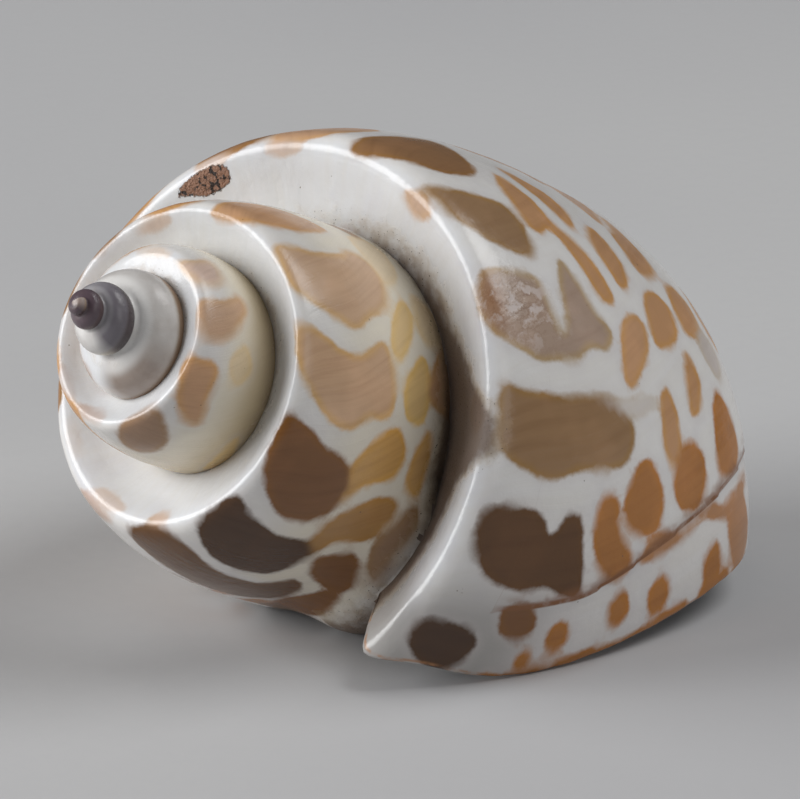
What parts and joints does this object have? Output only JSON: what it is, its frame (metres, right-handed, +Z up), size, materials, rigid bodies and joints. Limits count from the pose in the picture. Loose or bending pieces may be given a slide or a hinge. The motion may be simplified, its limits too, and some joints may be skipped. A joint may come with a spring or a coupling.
{
  "type": "babylon shell",
  "caption": "Spiral sea shell with a stepped spire, a channelled suture, a full rounded body whorl and an open aperture on which it lies.",
  "frame": {"origin": "the middle of the shell seen from above, on the surface it lies on", "axes": "+Z up, +X along the coiling axis seen from above, from the apex towards the front end, so the lip is on the -Y side"},
  "size_m": [0.0402, 0.0314, 0.0257],
  "materials": {
    "shell": "smooth porcelain-like lime shell, glossy, white with orange-brown blotches"
  },
  "bodies": {
    "root": {"shell": "shell"}
  },
  "joints": []
}
